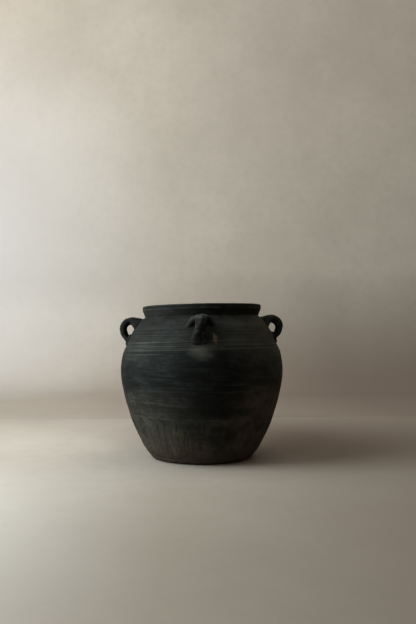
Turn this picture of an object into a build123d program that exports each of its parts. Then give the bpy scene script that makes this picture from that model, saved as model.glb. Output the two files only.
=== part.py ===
from build123d import *
import math
import os

# A round-bellied black clay jar with an everted rim and four small lug handles.
# It stands on Z = 0 with its axis on Z. +X is to the right and -Y is the front.
# The wall is five pieces of clay, one above the other. Each handle is a rolled strap bent into a
# loop, a crescent of clay that holds its upper end to the shoulder like a hood, and a pad of clay
# smeared over its lower end.
# All sizes are millimetres.

# --- Driving dimensions: wall -----------------------------------------------------------------
JAR_HEIGHT = 298.0
BELLY = (160.0, 172.0)  # the widest point, as radius and height
FOOT_R = 99.0
FOOT_ROUND = 5.0
NECK = (112.0, 277.0)  # the narrowest point above the shoulder
WALL = 9.5
BASE_THICK = 11.0
LIP_R = 117.0
LIP_BOTTOM_Z = 290.0
LIP_ROUND = 2.5
MOUTH_R = 103.0

# Joints between the wall pieces, as radius and height on the outside. Each is a scarf: seen in
# section it slopes, so that one piece laps over the next.
BASE_JOINT = (103.0, 11.0)
LEDGE_JOINT = (142.5, 86.0)
SHOULDER_JOINT = (152.5, 214.0)
BASE_SCARF = -8.0  # how far the joint falls from the outside to the inside
WALL_SCARF = 5.0

# --- Driving dimensions: handles --------------------------------------------------------------
EYE_CENTRE = (138.5, 254.0)  # radius from the jar's axis, and height
LOOP_R = 17.0  # of the strap's centre line round the eye
LOOP_START_DEG = 115.0  # where the strap leaves its upper root, from horizontal
LOOP_END_DEG = -40.0  # where it straightens into its lower root
ROOT_RUN = 23.0  # length of each straight root, part of it inside the wall until it is trimmed
STRAP_THICK = 14.0  # in the plane of the loop
STRAP_WIDE = 20.5  # along the jar's circumference
ROOT_WIDE = 29.0

# The crescent is an arch seen from in front of the handle, and reaches out from the wall as a web.
CRESCENT_SPAN = 56.0
CRESCENT_TOP_Z = 269.6
CRESCENT_TIP_Z = 251.0
CRESCENT_EDGE_R = 146.0  # its outer edge, from the jar's axis, in its middle
CRESCENT_TIP_R = 132.0  # and at its two tips
CRESCENT_THICK = 12.4
CRESCENT_TIP_THICK = 5.0
SHOULDER_AT = (119.0, 269.0)  # a point of the shoulder under it, as radius and height
SHOULDER_LEAN = 0.95  # how far the shoulder spreads for each millimetre that it falls
SUNK = 5.0  # how deep the handle's clay starts inside the wall, before it is trimmed
CRESCENT_CUT = (141.0, 264.0)  # where the crescent ends and the strap runs free
CRESCENT_CUT_DEG = 11.5

PAD_CENTRE = (147.0, 231.0)
PAD_WIDE = 34.0
PAD_TALL = 25.0
PAD_THICK = 8.0
PAD_LEAN_DEG = 28.0  # the slope of the wall there, from vertical

STRAP_SECTIONS = 9
HANDLES = {"right": 0.0, "back": 90.0, "left": 180.0, "front": 270.0}  # degrees about Z


# --- Wall -------------------------------------------------------------------------------------
def outer_line():
    """The jar's outside in section, from the middle of the base out, up and over the lip."""
    foot_corner = (FOOT_R - FOOT_ROUND, FOOT_ROUND)
    lip_corner = (LIP_R - LIP_ROUND, JAR_HEIGHT - LIP_ROUND)
    under = Line((0.0, 0.0), (foot_corner[0], 0.0))
    foot = CenterArc(foot_corner, FOOT_ROUND, -90.0, 90.0)
    side = Spline(
        (FOOT_R, FOOT_ROUND),
        BASE_JOINT,
        (127.5, 50.0),
        LEDGE_JOINT,
        (154.5, 130.0),
        BELLY,
        SHOULDER_JOINT,
        (142.5, 236.0),
        (119.0, 269.0),
        NECK,
        tangents=[(0.45, 1.0), (0.25, 1.0)],
    )
    bevel = Line(NECK, (LIP_R, LIP_BOTTOM_Z))
    face = Line((LIP_R, LIP_BOTTOM_Z), (LIP_R, lip_corner[1]))
    edge = CenterArc(lip_corner, LIP_ROUND, 0.0, 90.0)
    return [under, foot, side, bevel, face, edge]


def inner_line():
    """The jar's inside in section, from the top of the lip down to the middle of the base."""
    lip_corner = (MOUTH_R + LIP_ROUND, JAR_HEIGHT - LIP_ROUND)
    land = Line((LIP_R - LIP_ROUND, JAR_HEIGHT), (lip_corner[0], JAR_HEIGHT))
    edge = CenterArc(lip_corner, LIP_ROUND, 90.0, 90.0)
    neck = Line((MOUTH_R, lip_corner[1]), (MOUTH_R, NECK[1]))
    side = Spline(
        (MOUTH_R, NECK[1]),
        (111.0, 265.0),
        (134.0, 230.0),
        (SHOULDER_JOINT[0] - WALL, 209.0),
        (BELLY[0] - WALL, BELLY[1]),
        (154.5 - WALL, 132.0),
        (LEDGE_JOINT[0] - WALL, LEDGE_JOINT[1] + 3.0),
        (127.5 - WALL, 54.0),
        (94.0, 17.5),
        (84.0, BASE_THICK),
        tangents=[(0.05, -1.0), (-1.0, -0.1)],
    )
    floor = Line((84.0, BASE_THICK), (0.0, BASE_THICK))
    return [land, edge, neck, side, floor]


def joint_line(outside, fall, reach=BELLY[0] + 20.0):
    """A joint in section, as points from the jar's axis outwards through a point of the outside."""
    r, z = outside
    inside_r = r - WALL - 3.0
    return [(0.0, z - fall), (inside_r, z - fall), (r, z), (reach, z)]


def wall_pieces():
    """The five wall pieces by name, each one band of the section turned about the axis."""
    axis = Line((0.0, BASE_THICK), (0.0, 0.0))
    section = make_face(Curve() + outer_line() + inner_line() + [axis])
    below = joint_line((LIP_R, -10.0), 0.0)
    joints = [
        ("base_disc", joint_line(BASE_JOINT, BASE_SCARF)),
        ("lower_wall", joint_line(LEDGE_JOINT, WALL_SCARF)),
        ("belly_wall", joint_line(SHOULDER_JOINT, WALL_SCARF)),
        ("shoulder_wall", joint_line(NECK, WALL_SCARF)),
        ("rim_collar", joint_line((LIP_R, JAR_HEIGHT + 10.0), 0.0)),
    ]
    pieces = {}
    for name, above in joints:
        band = make_face(Polyline(*below, *reversed(above), close=True))
        pieces[name] = revolve(Plane.XZ * (section & band), Axis.Z)
        below = above
    return pieces


def jar_block():
    """The jar without its hollow, for trimming what is luted onto the outside."""
    outer = outer_line()
    top = Line(outer[-1] @ 1, (0.0, JAR_HEIGHT))
    axis = Line((0.0, JAR_HEIGHT), (0.0, 0.0))
    return revolve(Plane.XZ * make_face(Curve() + outer + [top, axis]), Axis.Z)


# --- One handle, at +X ------------------------------------------------------------------------
def spread(count):
    """Evenly spaced shares of a path, from 0 to 1."""
    return [i / (count - 1) for i in range(count)]


def strap_path():
    """The strap's centre line: a straight upper root, round the eye, a straight lower root."""
    r, z = EYE_CENTRE
    arc = CenterArc((r, z), LOOP_R, LOOP_START_DEG, LOOP_END_DEG - LOOP_START_DEG)
    upper = Line((arc @ 0) - (arc % 0) * ROOT_RUN, arc @ 0)
    lower = Line(arc @ 1, (arc @ 1) + (arc % 1) * ROOT_RUN)
    return Plane.XZ * Wire([upper, arc, lower])


def strap_loop():
    """The rolled strap: ellipses set across its path, wider towards the root at each end."""
    path = strap_path()
    sections = []
    for share in spread(STRAP_SECTIONS):
        wide = STRAP_WIDE + (ROOT_WIDE - STRAP_WIDE) * (2.0 * share - 1.0) ** 2
        across = Plane(origin=path @ share, x_dir=(0, 1, 0), z_dir=path % share)
        sections.append(across * Ellipse(wide / 2, STRAP_THICK / 2))
    return loft(sections)


def crescent_section(side):
    """The web at one place along the arch, -1 to 1: its middle, half its reach, half its height."""
    fall = abs(side) ** 2.5 * (CRESCENT_TOP_Z - CRESCENT_TIP_Z)
    z = CRESCENT_TOP_Z - fall
    y = side * CRESCENT_SPAN / 2
    shoulder = SHOULDER_AT[0] + SHOULDER_LEAN * (SHOULDER_AT[1] - z)
    inner = math.sqrt(shoulder**2 - y**2) - SUNK
    outer = CRESCENT_EDGE_R + (CRESCENT_TIP_R - CRESCENT_EDGE_R) * side**2
    thick = CRESCENT_TIP_THICK + (CRESCENT_THICK - CRESCENT_TIP_THICK) * (1.0 - side**2)
    return Vector((inner + outer) / 2, y, z), (outer - inner) / 2, thick / 2


def crescent():
    """The crescent's clay: a web that reaches out from the shoulder, arched over the strap."""
    sections = []
    for share in spread(STRAP_SECTIONS):
        side = 2.0 * share - 1.0
        middle, half_reach, half_tall = crescent_section(side)
        ahead, behind = crescent_section(side + 0.02)[0], crescent_section(side - 0.02)[0]
        way = Vector(0.0, ahead.Y - behind.Y, ahead.Z - behind.Z)
        sections.append(Plane(origin=middle, x_dir=(1, 0, 0), z_dir=way) * Ellipse(half_reach, half_tall))
    return loft(sections)


def foot_pad():
    """The pad smeared over the lower root: a flattened lump lying against the wall."""
    lump = scale(Sphere(1.0), by=(PAD_THICK / 2, PAD_WIDE / 2, PAD_TALL / 2))
    r, z = PAD_CENTRE
    return Pos(r, 0.0, z) * Rot(0.0, -PAD_LEAN_DEG, 0.0) * lump


def handle_pieces():
    """One handle's three pieces, each trimmed so that it meets its neighbours face to face."""
    block = jar_block()
    upper = strap_loop() + crescent() - block
    r, z = CRESCENT_CUT
    inwards = Pos(r, 0.0, z) * Rot(0.0, CRESCENT_CUT_DEG, 0.0)
    cutter = inwards * Box(80.0, 120.0, 120.0, align=(Align.MAX, Align.CENTER, Align.CENTER))
    pad = foot_pad() - block - upper
    return {"loop": upper - cutter, "crescent": upper & cutter, "foot_pad": pad}


# --- Output -----------------------------------------------------------------------------------
def one_solid(shape):
    """The largest solid of a trimmed shape, without the slivers that trimming can leave."""
    return shape.solids().sort_by(SortBy.VOLUME)[-1]


os.makedirs("parts", exist_ok=True)
for name, piece in wall_pieces().items():
    export_step(one_solid(piece), f"parts/{name}.step")
for kind, piece in handle_pieces().items():
    for side, angle in HANDLES.items():
        turned = Rot(0.0, 0.0, angle) * one_solid(piece)
        export_step(turned, f"parts/handle_{side}_{kind}.step")
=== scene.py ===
import math

import bmesh
import bpy
import numpy as np
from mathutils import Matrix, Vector, noise
from mathutils.bvhtree import BVHTree


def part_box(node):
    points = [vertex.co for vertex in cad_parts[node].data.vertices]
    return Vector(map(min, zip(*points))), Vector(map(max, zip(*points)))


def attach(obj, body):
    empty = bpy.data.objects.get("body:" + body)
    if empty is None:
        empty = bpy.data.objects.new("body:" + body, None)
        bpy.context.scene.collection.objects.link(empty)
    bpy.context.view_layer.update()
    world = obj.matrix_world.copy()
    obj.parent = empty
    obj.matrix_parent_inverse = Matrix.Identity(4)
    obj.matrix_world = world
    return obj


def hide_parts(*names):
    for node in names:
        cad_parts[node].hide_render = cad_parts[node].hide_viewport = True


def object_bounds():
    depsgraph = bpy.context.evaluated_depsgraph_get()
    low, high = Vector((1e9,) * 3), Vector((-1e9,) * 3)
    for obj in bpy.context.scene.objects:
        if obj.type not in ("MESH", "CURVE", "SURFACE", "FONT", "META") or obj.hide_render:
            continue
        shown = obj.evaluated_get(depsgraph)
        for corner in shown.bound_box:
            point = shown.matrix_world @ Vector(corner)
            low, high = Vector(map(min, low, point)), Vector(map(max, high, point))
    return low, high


# A hand-built black clay jar. Lengths are metres, angles are radians, and a turn of 0 faces the
# viewer (-Y) and grows towards the jar's right (+X). Every visual piece stands for one CAD node.

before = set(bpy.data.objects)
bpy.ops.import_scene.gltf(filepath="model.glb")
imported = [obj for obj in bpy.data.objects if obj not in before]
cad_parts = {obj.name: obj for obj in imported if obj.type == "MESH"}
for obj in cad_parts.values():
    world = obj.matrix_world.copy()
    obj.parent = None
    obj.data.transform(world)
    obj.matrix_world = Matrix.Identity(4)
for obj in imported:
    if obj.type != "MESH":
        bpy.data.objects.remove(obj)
CAD_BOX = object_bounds()
MM = 0.001

# --- Driving dimensions: the top and lip read from the CAD model, the rest given ---
JAR_TOP = CAD_BOX[1].z
LIP_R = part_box("rim_collar")[1].x
NECK_Z = 277 * MM
FLOOR_Z = 11 * MM  # the inside floor
BASE_JOINT_Z = 11 * MM
LEDGE_Z = 86 * MM
FOOT_ROUND = 10.5 * MM  # height of the foot's rounded corner
FOOT_SPREAD = 14 * MM  # and how far it reaches in
WALL_NODES = ["base_disc", "lower_wall", "belly_wall", "shoulder_wall", "rim_collar"]

COLUMNS = 640  # round the jar
ROW = 1.1 * MM  # height of a mesh row on the outside
INSIDE_ROW = 4 * MM

# The shoulder, lip and handles sit a little askew on the body: up to the right and to the front.
LEAN_RIGHT = math.tan(math.radians(1.16))
LEAN_FRONT = math.tan(math.radians(1.15))
LEAN_FROM, LEAN_TO = 150 * MM, 230 * MM  # heights between which the lean comes in


# --- Small maths ---
def smoothstep(x, low, high):
    t = np.clip((x - low) / (high - low), 0.0, 1.0)
    return t * t * (3.0 - 2.0 * t)


def ramp(x, low, high):
    """smoothstep of a length, between two in millimetres."""
    return smoothstep(x, low * MM, high * MM)


def bell(x, width):
    return np.exp(-((x / width) ** 2))


def bell_at(x, middle, width):
    """bell of a length, its middle and width in millimetres."""
    return bell(x - middle * MM, width * MM)


def cubic(xs, ys):
    """A natural cubic spline through points, as a function of arrays."""
    xs, ys = np.asarray(xs, float), np.asarray(ys, float)
    h = np.diff(xs)
    n = len(xs)
    a, b = np.eye(n), np.zeros(n)
    for i in range(1, n - 1):
        a[i, i - 1], a[i, i], a[i, i + 1] = h[i - 1], 2 * (h[i - 1] + h[i]), h[i]
        b[i] = 6 * ((ys[i + 1] - ys[i]) / h[i] - (ys[i] - ys[i - 1]) / h[i - 1])
    m = np.linalg.solve(a, b)

    def at(x):
        x = np.asarray(x, float)
        i = np.clip(np.searchsorted(xs, x) - 1, 0, n - 2)
        left, right = x - xs[i], xs[i + 1] - x
        bend = (m[i] * right**3 + m[i + 1] * left**3) / (6 * h[i])
        straight_l = (ys[i] / h[i] - m[i] * h[i] / 6) * right
        straight_r = (ys[i + 1] / h[i] - m[i + 1] * h[i] / 6) * left
        return bend + straight_l + straight_r

    return at


def ripple(turn, z, seed, around, tall):
    """Smooth noise in -1..1 on the wall: `around` cells round the jar, each `tall` mm high."""
    rows = 64
    table = np.random.default_rng(seed).uniform(-1.0, 1.0, (rows, around))
    u = (turn / math.tau % 1.0) * around
    v = (z / (tall * MM)) % rows
    iu, iv = np.floor(u).astype(int), np.floor(v).astype(int)
    fu, fv = u - iu, v - iv
    fu, fv = fu * fu * (3 - 2 * fu), fv * fv * (3 - 2 * fv)
    iu, iv = iu % around, iv % rows
    ju, jv = (iu + 1) % around, (iv + 1) % rows
    low = table[iv, iu] * (1 - fu) + table[iv, ju] * fu
    high = table[jv, iu] * (1 - fu) + table[jv, ju] * fu
    return low * (1 - fv) + high * fv


def round_ripple(turn, seed, around):
    """Smooth noise round the jar, the same at every height."""
    return ripple(turn, 0 * turn, seed, around, 1.0)


def wrapped(turn):
    """The same turn in -pi..pi."""
    return (turn + math.pi) % math.tau - math.pi


# --- The wall's plain form, from the CAD ---
def wall_tree():
    """One search tree over the CAD wall pieces."""
    points, faces = [], []
    for name in WALL_NODES:
        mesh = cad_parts[name].data
        start = len(points)
        points += [v.co.copy() for v in mesh.vertices]
        faces += [[start + i for i in p.vertices] for p in mesh.polygons]
    return BVHTree.FromPolygons(points, faces)


def measured_radius(tree, heights, outside):
    """The wall's radius at each height, where a ray along X meets its outside or its inside."""
    off_seam = 1e-5  # a little to the side of the CAD mesh's seam
    start_x, way_x = (0.3, -1) if outside else (0.0, 1)
    found = []
    for z in heights:
        start = Vector((start_x, off_seam, z))
        found.append(tree.ray_cast(start, Vector((way_x, 0, 0)))[0].x)
    return found


def plain_forms():
    """The outside and inside radius of the wall, as smooth functions of height."""
    tree = wall_tree()
    out_z = np.linspace(FOOT_ROUND + 0.2 * MM, NECK_Z - 0.2 * MM, 26)
    in_z = np.linspace(FLOOR_Z + 7 * MM, NECK_Z + 8 * MM, 22)
    outside = cubic(out_z, measured_radius(tree, out_z, True))
    inside = cubic(in_z, measured_radius(tree, in_z, False))
    return outside, inside


OUTSIDE_R, INSIDE_R = plain_forms()


def slope(z):
    """How fast the outside radius grows with height."""
    step = 0.5 * MM
    return (OUTSIDE_R(z + step) - OUTSIDE_R(z - step)) / (2 * step)


def leaned(points):
    """Points with the lean of the jar's upper part, as an array of x, y, z rows."""
    points = np.array(points, float)
    share = smoothstep(points[..., 2], LEAN_FROM, LEAN_TO)
    rise = LEAN_RIGHT * points[..., 0] - LEAN_FRONT * points[..., 1]
    points[..., 2] += share * rise
    return points


def placed(turn, r, z):
    """Points on the jar from a turn, a radius and a height, leaned."""
    return leaned(np.stack([r * np.sin(turn), -r * np.cos(turn), z + 0 * r], -1))


# --- Hand work on the outside ---
# Lines left on the shoulder by a comb held against the turning jar: height and depth in
# millimetres, and how far each one wanders up and down on its way round.
GROOVES = [
    (250.0, 0.14, 1.2),
    (243.5, 0.16, 1.4),
    (238.0, 0.26, 1.2),
    (234.0, 0.18, 1.5),
    (229.5, 0.26, 1.2),
    (224.8, 0.75, 0.9),
    (221.4, 0.30, 1.2),
    (217.6, 0.85, 0.8),
    (214.4, 0.30, 1.0),
    (210.4, 0.80, 0.8),
    (203.2, 0.70, 1.0),
    (198.6, 0.25, 1.2),
    (194.1, 0.40, 1.5),
    (186.4, 0.25, 1.5),
]
GROOVE_WIDE = 1.0 * MM
RIDGE_UP = 1.9 * MM  # how far above its groove the clay pushed up by the comb stands
# Two faint turning ridges on the belly: height and rise in millimetres, and a seed.
BELLY_RIDGES = [(181.0, 0.16, 81), (139.0, 0.30, 82)]
HANDLE_TURNS = [0.0, math.pi / 2, math.pi, -math.pi / 2]
TRIMMED_R = 125 * MM  # from turn to arc length on the lower wall
NICKED_R = 128 * MM

# Ovals on the wall. Each has a strength, the turn and height of its middle, half its width and half
# its height (millimetres), and for some a tilt and the share of it that is its even core.
SOOT_AND_SHADOW_CLOUDS = [
    (0.68, 0.12, 168, 64, 42),
    (0.72, 0.14, 116, 52, 32),
    (0.60, -0.98, 147, 40, 7, 0.05),
    (0.66, 0.31, 55, 32, 25, 0.0, 0.50),
    (0.55, 2.70, 160, 80, 36, 0.2),
    (0.45, -2.10, 130, 60, 20, -0.1),
    (0.42, -1.00, 250, 95, 34),
    (0.60, -1.28, 172, 60, 42),
    # a painted shadow of the front handle's strap, on the wall to its right
    (0.55, 0.075, 232, 12, 16),
]
DUST_FILMS = [
    (0.52, -0.80, 60, 84, 52),
    (0.35, 2.30, 60, 70, 45),
]
SCUFFS = [
    (0.62, -0.80, 79, 26, 11, -0.35, 0.3),
    (0.45, -1.02, 118, 22, 20, 0.2, 0.2),
    (0.35, 1.90, 100, 30, 16, 0.2, 0.2),
]
RUBBED_SPOTS = [
    (0.4, -0.83, 76, 17, 12, -0.6),
    (0.7, -1.06, 130, 13, 5, 0.1),
    (0.7, 2.10, 88, 22, 12, -0.4),
]
SMEAR_UPPER = (0.50, -0.01, 217, 30, 11, 0.0, 0.2)  # below a handle: the turn is from its facing
SMEAR_LOWER = (0.90, -0.01, 209, 27, 15, -0.1, 0.25)
SOIL_STREAK = (1.0, 0.20, 84, 44, 9, 0.06, 0.1)
CLEAN_SPOT = (0.5, 0.30, 54, 33, 26)
PALE_BLOB = (0.16, -0.76, 191, 20, 9, 0.2)
SHOULDER_DUST = (0.22, 1.00, 232, 110, 52)
TAN_SMUDGE = (0.85, 0.166, 233, 4.6, 11, 0.2)


def ledge_height(turn):
    """The uneven line where the belly laps over the trimmed lower wall."""
    wave = 1.8 * round_ripple(turn, 31, 13) + 1.0 * round_ripple(turn, 32, 37)
    return LEDGE_Z + wave * MM


def band_edge(turn):
    """The height where the grooved band ends: it was rubbed down below all but the front handle."""
    low = np.zeros_like(turn)
    for side in HANDLE_TURNS[1:]:
        low = np.maximum(low, 1 - smoothstep(np.abs(wrapped(turn - side)), 0.42, 0.85))
    return (210.8 + 1.0 * round_ripple(turn, 90, 9) - 14.0 * low) * MM


def trimming(turn, z):
    """Upright knife cuts on the lower wall, as shallow scallops that meet in ridges."""
    rng = np.random.default_rng(77)
    cut = np.zeros_like(turn + z)
    for _ in range(190):
        centre = rng.uniform(-math.pi, math.pi)
        top, bottom = rng.uniform(62, 86) * MM, rng.uniform(12, 44) * MM
        wide, deep = rng.uniform(4.0, 8.0) * MM, rng.uniform(0.20, 0.75) * MM
        lean = rng.uniform(-0.16, 0.10)
        across = wrapped(turn - centre) * TRIMMED_R + lean * (z - 55 * MM)
        ends = smoothstep(z, bottom - 5 * MM, bottom + 5 * MM)
        ends *= 1 - smoothstep(z, top - 6 * MM, top + 3 * MM)
        cut = np.minimum(cut, -deep * np.clip(1 - (across / wide) ** 2, 0, 1) * ends)
    return cut


def nicks(turn, z):
    """Narrow upright lines on the lower wall where the knife's edge dug in, 1 along each."""
    rng = np.random.default_rng(79)
    places = [(-0.53, 83, 36, 1.0), (-0.425, 80, 42, 0.9), (-0.355, 82, 50, 0.8)]
    for _ in range(80):
        at, top, bottom = rng.uniform(-math.pi, math.pi), rng.uniform(64, 84), rng.uniform(14, 50)
        places.append((at, top, bottom, rng.uniform(0.25, 0.85)))
    lines = np.zeros_like(turn + z)
    for at, top, bottom, strength in places:
        wander = 0.008 * np.sin(z / (7 * MM) + 9 * at) + 0.0012 * (z / MM - 60)
        across = wrapped(turn - at - wander) * NICKED_R
        ends = ramp(z, bottom - 4, bottom + 8)
        ends *= 1 - ramp(z, top - 4, top + 2)
        lines = np.maximum(lines, strength * bell(across, 0.95 * MM) * ends)
    return lines


def stroke(turn, z, start, end, half_wide):
    """A thin scratch between two points given as turn and height, 1 along its line."""
    share = np.clip((turn - start[0]) / (end[0] - start[0]), -0.2, 1.2)
    line = (start[1] + (end[1] - start[1]) * share) * MM
    ends = smoothstep(share, -0.08, 0.08) * (1 - smoothstep(share, 0.85, 1.1))
    wander = 0.5 * MM * round_ripple(turn, 91, 90)
    return bell(z - line + wander, half_wide * MM) * ends


def scratches(turn, z):
    """Long thin scratches that run nearly level round the lower belly, paler than the skin."""
    lines = 0.66 * stroke(turn, z, (-0.83, 117.2), (-0.58, 118.0), 0.85)
    lines = np.maximum(lines, 0.30 * stroke(turn, z, (-0.60, 117.8), (-0.18, 112.8), 0.9))
    rng = np.random.default_rng(78)
    for _ in range(60):
        start, long = rng.uniform(-math.pi, math.pi), rng.uniform(0.05, 0.24)
        height, drop = rng.uniform(90, 200), rng.uniform(-3.0, 1.5)
        half, strength = rng.uniform(0.45, 0.9), rng.uniform(0.08, 0.34)
        thin = stroke(turn, z, (start, height), (start + long, height + drop), half)
        lines = np.maximum(lines, strength * thin * (1 - 0.75 * bell(turn - 0.7, 0.75)))
    return lines


def oval(turn, z, strength, at_turn, at_z, wide, tall, tilt=0.0, core=0.55):
    """One oval on the wall: its strength in its core, fading to 0 at its edge."""
    x = wrapped(turn - at_turn) * OUTSIDE_R(at_z * MM)
    y = z - at_z * MM
    a, b = math.cos(tilt), math.sin(tilt)
    d = np.sqrt(((a * x + b * y) / (wide * MM)) ** 2 + ((a * y - b * x) / (tall * MM)) ** 2)
    return strength * (1 - smoothstep(d, core, 1.15))


def ovals(turn, z, specs):
    """The strongest of several ovals at each point."""
    out = np.zeros_like(turn)
    for spec in specs:
        out = np.maximum(out, oval(turn, z, *spec))
    return out


def zones(turn, z):
    """Shares 0..1 of the grooved band, of its comb lines' reach, and of the scraped lower wall."""
    rubbed = np.maximum(bell(turn + 1.15, 0.55), bell(wrapped(turn - 2.5), 0.5))
    soft = (1.3 + 7.0 * rubbed) * MM
    edge = band_edge(turn)
    ragged = z + 1.4 * MM * ripple(turn, z, 89, 60, 5)
    band = smoothstep(ragged, edge - soft, edge + soft)
    comb = smoothstep(z, edge - soft - 20 * MM * rubbed, edge + soft)
    ledge = ledge_height(turn)
    low = 1 - smoothstep(z, ledge - 0.8 * MM, ledge + 1.6 * MM)
    return band, comb, low


def uneven_form(turn, z):
    """Slow unevenness of a jar built up by hand, with a hollow beside the right handle, in mm."""
    off = 0.45 * ripple(turn, z, 1, 5, 80) + 0.22 * ripple(turn, z, 2, 14, 28)
    off = off - 0.9 * bell_at(z, 90, 12) + 1.7 * bell_at(z, 20, 12)
    hollow = 2.4 * bell_at(z, 224, 13) + 1.5 * bell_at(z, 252, 9)
    return off - hollow * bell(wrapped(turn - math.pi / 2), 0.4)


def turned_lines(turn, z, comb):
    """Comb grooves, each with a ridge above, and two belly ridges: rise in mm, and the worn parts, partly
    a painted highlight.
    """
    off, worn = np.zeros_like(turn), np.zeros_like(turn)
    # ridges are painted paler most at the front-left, as wear and as a painted highlight on the lit side,
    # and at the back as wear
    polish_and_highlight = 0.22 + 0.78 * np.maximum(bell(turn + 0.72, 0.42), bell(wrapped(turn - 2.3), 0.6))
    for count, (height, deep, climb) in enumerate(GROOVES):
        line = (height + climb * round_ripple(turn, 41 + count, 4)) * MM
        press = (0.75 + 0.35 * round_ripple(turn, 61 + count, 11)) * comb
        above = z - line - RIDGE_UP
        off += deep * press * (0.6 * bell(above, GROOVE_WIDE) - bell(z - line, GROOVE_WIDE))
        shine = polish_and_highlight * np.minimum(1.5 * press, 1.0) * min(1.0, deep * 1.4)
        worn = np.maximum(worn, shine * bell(above, 1.3 * MM))
    for height, rise, seed in BELLY_RIDGES:
        line = (height + 1.2 * round_ripple(turn, seed, 5)) * MM
        press = np.clip(round_ripple(turn, seed + 5, 11) + 0.2, 0, 1)
        off += rise * press * bell(z - line, 1.4 * MM)
        worn = np.maximum(worn, 0.35 * press * bell(z - line, 1.1 * MM))
    return off, worn


def worn_spots(turn, z, lines):
    """Where the surface is rubbed pale: the ledge's broken edge, the scratches, slanted scuffs."""
    broken = np.clip(0.35 + 1.2 * ripple(turn, z, 95, 48, 9), 0, 1)
    broken *= 0.35 + 0.65 * bell(wrapped(turn + 0.6), 0.5)
    worn = 0.55 * broken * bell(z - ledge_height(turn) - 1.0 * MM, 1.2 * MM)
    slanted = ripple(turn + 5 * (z - 80 * MM), z, 96, 150, 14)
    rubbed = 0.7 * ovals(turn, z, RUBBED_SPOTS) * smoothstep(slanted, -0.2, 0.7)
    return np.maximum(np.maximum(worn, lines), rubbed)


def scraped_mask(turn, z, uneven):
    """Where the dark skin was scraped or handled away, low on the jar."""
    fade = 1 - ramp(uneven, 56, 92)
    handled = 0.65 * (1 - ramp(uneven, 120, 146))
    handled *= smoothstep(np.abs(wrapped(turn - 0.15)), 0.15, 0.75)
    return np.maximum(fade, handled * (0.75 + 0.25 * ripple(turn, z, 14, 60, 5)))


def soil_and_light_mask(turn, z, uneven, foot, streak):
    """Dry brown soil round the foot, up the right side and in a level streak at the front, and painted
    light low on the left.
    """
    brown = 0.5 + 0.5 * ripple(turn, z, 12, 22, 20)
    low_soil = (1 - ramp(uneven, 50, 78)) * (0.15 + 0.6 * brown)
    right_side = smoothstep(turn, 0.2, 0.9) * (1 - smoothstep(turn, 2.2, 2.8))
    upper_soil = 1.1 * right_side * (1 - ramp(uneven, 112, 160))
    mixed = ripple(turn, z, 142, 34, 17) + 0.5 * ripple(turn, z, 143, 90, 7)
    upper_soil *= 0.15 + 0.85 * smoothstep(mixed, -0.6, 0.5)
    soil = np.maximum(low_soil, upper_soil) + 0.35 * foot + 0.2 * right_side
    soil += 0.12 * (1 - ramp(uneven, 122, 146))
    soil *= 1 - oval(turn, uneven, *CLEAN_SPOT)
    soil += 0.62 * streak * (0.7 + 0.6 * ripple(turn, z, 145, 70, 5))
    # the last term is painted light: the foot is painted paler low on the left, where the light falls
    return soil + 0.25 * (1 - ramp(z, 22, 40)) * bell(wrapped(turn + 0.8), 0.9)


def dust_mask(turn, z, streak):
    """Thin pale dust: upright streaks in the knife cuts, speckled above them, and a few patches."""
    upright = 0.62 + 0.38 * ripple(turn, z, 140, 130, 15)
    speckled = 0.55 + 0.55 * ripple(turn, z, 147, 170, 2.2)
    speckled += 0.35 * ripple(turn, z, 148, 60, 3.5)
    above_cuts = ramp(z, 74, 86)
    film = ovals(turn, z, DUST_FILMS) * (upright * (1 - above_cuts) + speckled * above_cuts)
    film *= 0.8 + 0.2 * ripple(turn, z, 141, 60, 5)
    scuffs = ovals(turn, z, SCUFFS) * smoothstep(ripple(turn, z, 149, 200, 1.9), -0.4, 0.5)
    blob = oval(turn, z, *PALE_BLOB) * (1 + ripple(turn, z, 144, 80, 4))
    for more in (scuffs, blob, oval(turn, z, *SHOULDER_DUST)):
        film = np.maximum(film, more)
    return film + 0.14 * streak


def smears(turn, z):
    """Thumbed clay below each handle, where the lower root was rubbed down into the wall."""
    out = np.zeros_like(turn)
    for count, centre in enumerate(HANDLE_TURNS):
        ragged = z + 2.4 * MM * ripple(turn, z, 100 + count, 90, 5)
        fingers = 0.78 + 0.34 * ripple(turn, z, 110 + count, 110, 4)
        out = np.maximum(out, ovals(turn - centre, ragged, (SMEAR_UPPER, SMEAR_LOWER)) * fingers)
    return out


def sooty_and_shaded(turn, z):
    """Blacker clouds on the belly, left by the smoky firing, and a painted shadow to the right of the
    front strap.
    """
    ragged = z + 5 * MM * ripple(turn, z, 150, 40, 9)
    return ovals(turn, ragged, SOOT_AND_SHADOW_CLOUDS) * (0.85 + 0.15 * ripple(turn, z, 151, 24, 3))


def tan_marks(turn, z):
    """A small dry smudge of tan clay left by a finger."""
    wobble = 2.5 * MM * ripple(turn, z, 120, 90, 4)
    flakes = 0.6 + 0.4 * ripple(turn, z, 121, 260, 3)
    return oval(turn + wobble * 6, z + wobble, *TAN_SMUDGE) * flakes


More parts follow.
